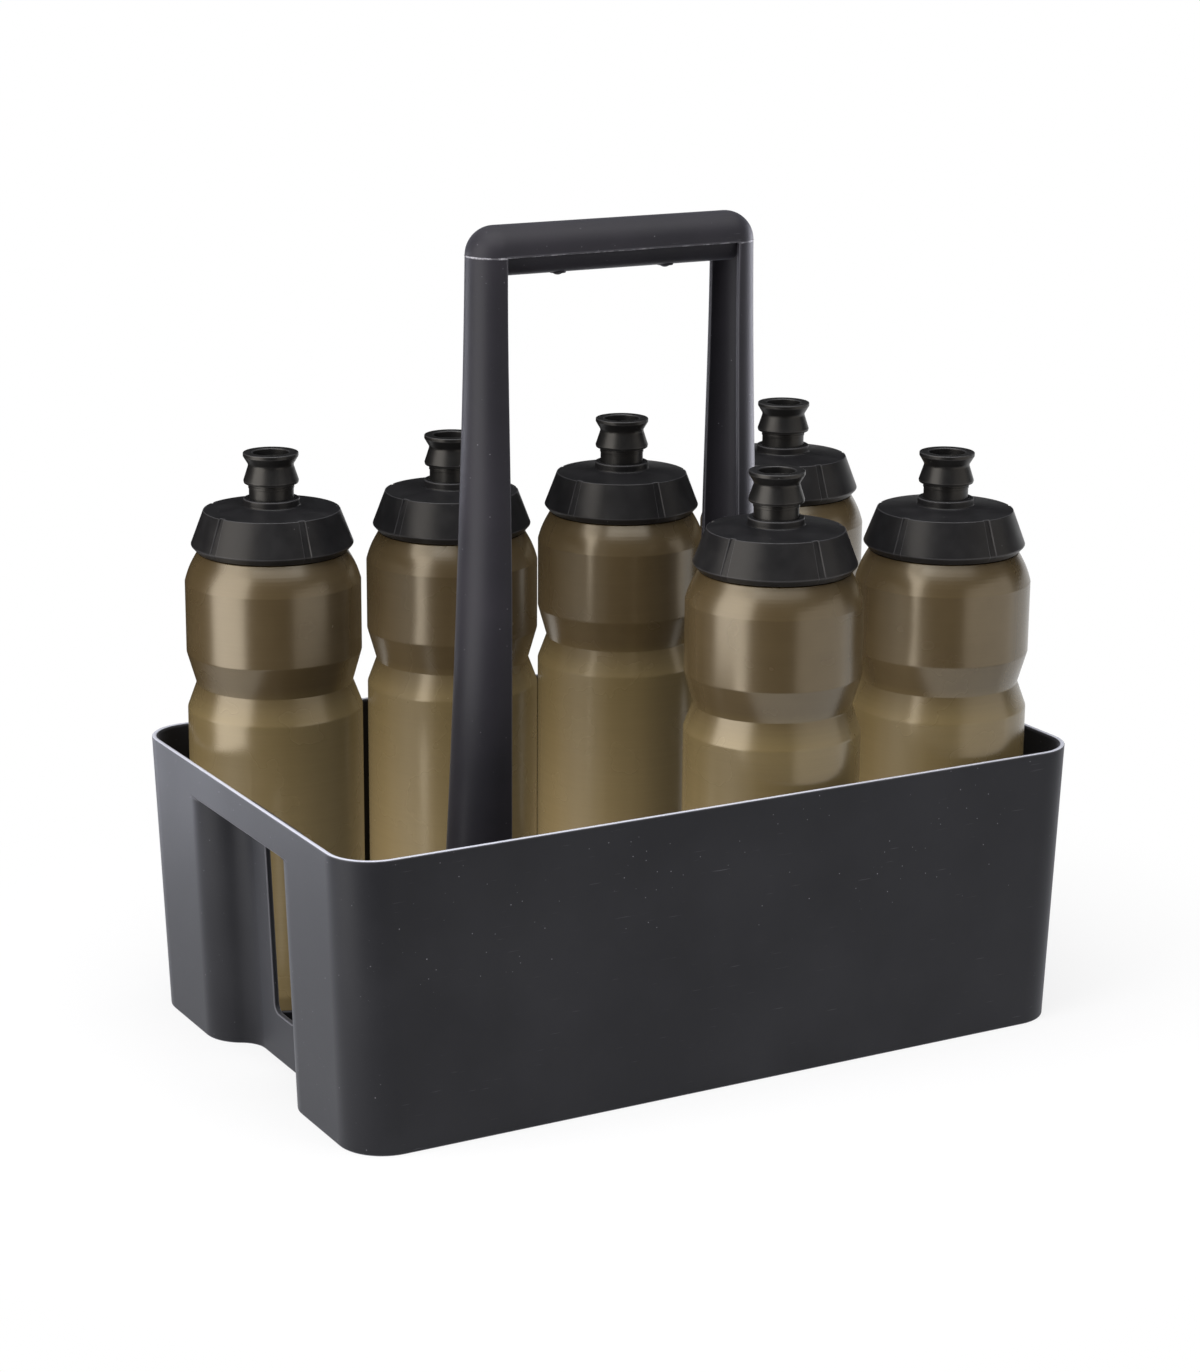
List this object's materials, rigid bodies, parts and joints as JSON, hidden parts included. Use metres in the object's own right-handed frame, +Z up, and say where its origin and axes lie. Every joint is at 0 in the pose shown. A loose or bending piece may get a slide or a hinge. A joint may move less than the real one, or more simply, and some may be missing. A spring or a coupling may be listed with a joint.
{
  "type": "bottle carrier",
  "caption": "Open moulded tray with a tall bow handle between its rows of pockets, carrying squeeze bottles with screw caps and pull-up spouts.",
  "frame": {"origin": "middle of the tray's underside, on the surface it stands on", "axes": "+X along the tray to the right as seen from the front, +Y to the back row, +Z up"},
  "size_m": [0.34, 0.21, 0.34],
  "materials": {
    "tray_plastic": "fine satin",
    "handle_plastic": "fine satin",
    "bottle_plastic": "smoky translucent satin",
    "cap_plastic": "satin",
    "spout_rubber": "soft matt",
    "seal_silicone": "soft matt",
    "screw_steel": "zinc plated"
  },
  "bodies": {
    "carrier": {"tray": "tray_plastic", "handle_shell": "handle_plastic", "grip_insert": "handle_plastic", "grip_rivet_left": "handle_plastic", "grip_rivet_right": "handle_plastic", "foot_screw_left_front": "screw_steel", "foot_screw_left_back": "screw_steel", "foot_screw_right_front": "screw_steel", "foot_screw_right_back": "screw_steel"},
    "bottle_1": {"bottle_1": "bottle_plastic"},
    "seal_1": {"seal_1": "seal_silicone"},
    "cap_1": {"cap_1": "cap_plastic"},
    "spout_1": {"spout_1": "spout_rubber"},
    "bottle_2": {"bottle_2": "bottle_plastic"},
    "seal_2": {"seal_2": "seal_silicone"},
    "cap_2": {"cap_2": "cap_plastic"},
    "spout_2": {"spout_2": "spout_rubber"},
    "bottle_3": {"bottle_3": "bottle_plastic"},
    "seal_3": {"seal_3": "seal_silicone"},
    "cap_3": {"cap_3": "cap_plastic"},
    "spout_3": {"spout_3": "spout_rubber"},
    "bottle_4": {"bottle_4": "bottle_plastic"},
    "seal_4": {"seal_4": "seal_silicone"},
    "cap_4": {"cap_4": "cap_plastic"},
    "spout_4": {"spout_4": "spout_rubber"},
    "bottle_5": {"bottle_5": "bottle_plastic"},
    "seal_5": {"seal_5": "seal_silicone"},
    "cap_5": {"cap_5": "cap_plastic"},
    "spout_5": {"spout_5": "spout_rubber"},
    "bottle_6": {"bottle_6": "bottle_plastic"},
    "seal_6": {"seal_6": "seal_silicone"},
    "cap_6": {"cap_6": "cap_plastic"},
    "spout_6": {"spout_6": "spout_rubber"}
  },
  "joints": [
    {"name": "bottle_1_lift", "type": "slide", "parent": "carrier", "child": "bottle_1", "axis": [0, 0, 1], "range_m": [0, 0.125]},
    {"name": "cap_1_rise", "type": "slide", "parent": "bottle_1", "child": "seal_1", "axis": [0, 0, 1], "range_m": [0, 0.02]},
    {"name": "cap_1_turn", "type": "hinge", "parent": "seal_1", "child": "cap_1", "pos_m": [-0.1245, 0.0635, 0.216], "axis": [0, 0, 1], "range_deg": [0, 720]},
    {"name": "spout_1_slide", "type": "slide", "parent": "cap_1", "child": "spout_1", "axis": [0, 0, 1], "range_m": [-0.006, 0]},
    {"name": "bottle_2_lift", "type": "slide", "parent": "carrier", "child": "bottle_2", "axis": [0, 0, 1], "range_m": [0, 0.125]},
    {"name": "cap_2_rise", "type": "slide", "parent": "bottle_2", "child": "seal_2", "axis": [0, 0, 1], "range_m": [0, 0.02]},
    {"name": "cap_2_turn", "type": "hinge", "parent": "seal_2", "child": "cap_2", "pos_m": [-0.0415, 0.0635, 0.216], "axis": [0, 0, 1], "range_deg": [0, 720]},
    {"name": "spout_2_slide", "type": "slide", "parent": "cap_2", "child": "spout_2", "axis": [0, 0, 1], "range_m": [-0.006, 0]},
    {"name": "bottle_3_lift", "type": "slide", "parent": "carrier", "child": "bottle_3", "axis": [0, 0, 1], "range_m": [0, 0.125]},
    {"name": "cap_3_rise", "type": "slide", "parent": "bottle_3", "child": "seal_3", "axis": [0, 0, 1], "range_m": [0, 0.02]},
    {"name": "cap_3_turn", "type": "hinge", "parent": "seal_3", "child": "cap_3", "pos_m": [0.0415, 0.0635, 0.216], "axis": [0, 0, 1], "range_deg": [0, 720]},
    {"name": "spout_3_slide", "type": "slide", "parent": "cap_3", "child": "spout_3", "axis": [0, 0, 1], "range_m": [-0.006, 0]},
    {"name": "bottle_4_lift", "type": "slide", "parent": "carrier", "child": "bottle_4", "axis": [0, 0, 1], "range_m": [0, 0.125]},
    {"name": "cap_4_rise", "type": "slide", "parent": "bottle_4", "child": "seal_4", "axis": [0, 0, 1], "range_m": [0, 0.02]},
    {"name": "cap_4_turn", "type": "hinge", "parent": "seal_4", "child": "cap_4", "pos_m": [0.1245, 0.0635, 0.216], "axis": [0, 0, 1], "range_deg": [0, 720]},
    {"name": "spout_4_slide", "type": "slide", "parent": "cap_4", "child": "spout_4", "axis": [0, 0, 1], "range_m": [-0.006, 0]},
    {"name": "bottle_5_lift", "type": "slide", "parent": "carrier", "child": "bottle_5", "axis": [0, 0, 1], "range_m": [0, 0.125]},
    {"name": "cap_5_rise", "type": "slide", "parent": "bottle_5", "child": "seal_5", "axis": [0, 0, 1], "range_m": [0, 0.02]},
    {"name": "cap_5_turn", "type": "hinge", "parent": "seal_5", "child": "cap_5", "pos_m": [0.0415, -0.0635, 0.216], "axis": [0, 0, 1], "range_deg": [0, 720]},
    {"name": "spout_5_slide", "type": "slide", "parent": "cap_5", "child": "spout_5", "axis": [0, 0, 1], "range_m": [-0.006, 0]},
    {"name": "bottle_6_lift", "type": "slide", "parent": "carrier", "child": "bottle_6", "axis": [0, 0, 1], "range_m": [0, 0.125]},
    {"name": "cap_6_rise", "type": "slide", "parent": "bottle_6", "child": "seal_6", "axis": [0, 0, 1], "range_m": [0, 0.02]},
    {"name": "cap_6_turn", "type": "hinge", "parent": "seal_6", "child": "cap_6", "pos_m": [0.1245, -0.0635, 0.216], "axis": [0, 0, 1], "range_deg": [0, 720]},
    {"name": "spout_6_slide", "type": "slide", "parent": "cap_6", "child": "spout_6", "axis": [0, 0, 1], "range_m": [-0.006, 0]}
  ],
  "couplings": [
    {"joint": "cap_1_rise", "follows": "cap_1_turn", "m_per_rad": 0.0015915},
    {"joint": "cap_2_rise", "follows": "cap_2_turn", "m_per_rad": 0.0015915},
    {"joint": "cap_3_rise", "follows": "cap_3_turn", "m_per_rad": 0.0015915},
    {"joint": "cap_4_rise", "follows": "cap_4_turn", "m_per_rad": 0.0015915},
    {"joint": "cap_5_rise", "follows": "cap_5_turn", "m_per_rad": 0.0015915},
    {"joint": "cap_6_rise", "follows": "cap_6_turn", "m_per_rad": 0.0015915}
  ]
}
